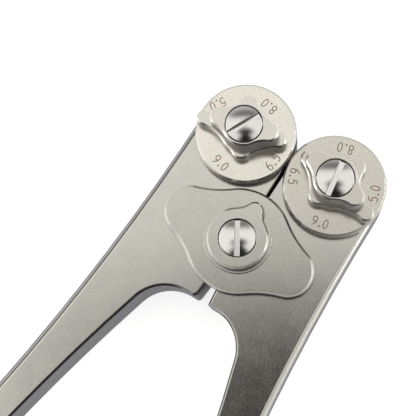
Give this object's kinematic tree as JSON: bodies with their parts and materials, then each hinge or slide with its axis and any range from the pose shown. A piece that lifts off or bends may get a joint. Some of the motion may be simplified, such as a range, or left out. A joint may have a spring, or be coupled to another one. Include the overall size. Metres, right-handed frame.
{
  "type": "plate bending pliers",
  "caption": "Two levers with curved handles, half-lapped at a screwed pivot under a cover plate with an anvil, and on each lever head a numbered dial with a gauge cam and a wing knob.",
  "frame": {"origin": "where the pivot's axis meets the flat back of the pliers", "axes": "+Z along the pivot, out of the front with the dials; +Y from the pivot towards the dials; +X towards the right lever"},
  "size_m": [0.0706, 0.1998, 0.0192],
  "materials": {
    "lever_steel": "satin stainless steel, fine brushed along the lever",
    "plate_steel": "satin stainless steel",
    "dial_steel": "fine matt stainless steel with laser marked gauge numbers",
    "gauge_steel": "satin stainless steel with machined walls",
    "polished_steel": "polished stainless steel",
    "bearing_steel": "ground stainless steel",
    "spring_steel": "plain spring steel"
  },
  "bodies": {
    "left_lever": {"left_arm": "lever_steel", "cover_plate": "plate_steel", "plate_dowels": "bearing_steel", "pivot_anvil": "gauge_steel", "anvil_keys": "bearing_steel", "pivot_screw": "polished_steel", "pivot_washer": "bearing_steel", "left_dial_screw": "polished_steel", "left_dial_bush": "bearing_steel", "left_spring_washer": "spring_steel", "left_detent_spring": "spring_steel", "left_detent_ball": "bearing_steel"},
    "right_lever": {"right_arm": "lever_steel", "pivot_bush": "bearing_steel", "right_dial_screw": "polished_steel", "right_dial_bush": "bearing_steel", "right_spring_washer": "spring_steel", "right_detent_spring": "spring_steel", "right_detent_ball": "bearing_steel"},
    "left_dial": {"left_dial_disc": "dial_steel", "left_gauge_cam": "gauge_steel", "left_wing_knob": "gauge_steel", "left_drive_pins": "bearing_steel"},
    "right_dial": {"right_dial_disc": "dial_steel", "right_gauge_cam": "gauge_steel", "right_wing_knob": "gauge_steel", "right_drive_pins": "bearing_steel"}
  },
  "joints": [
    {"name": "handle_hinge", "type": "hinge", "parent": "left_lever", "child": "right_lever", "pos_m": [0, 0, 0], "axis": [0, 0, -1], "range_deg": [0, 12]},
    {"name": "left_dial_turn", "type": "hinge", "parent": "left_lever", "child": "left_dial", "pos_m": [-0.01, 0.01865, 0.01], "axis": [0, 0, 1], "continuous": true},
    {"name": "right_dial_turn", "type": "hinge", "parent": "right_lever", "child": "right_dial", "pos_m": [0.01, 0.01865, 0.01], "axis": [0, 0, 1], "continuous": true}
  ]
}
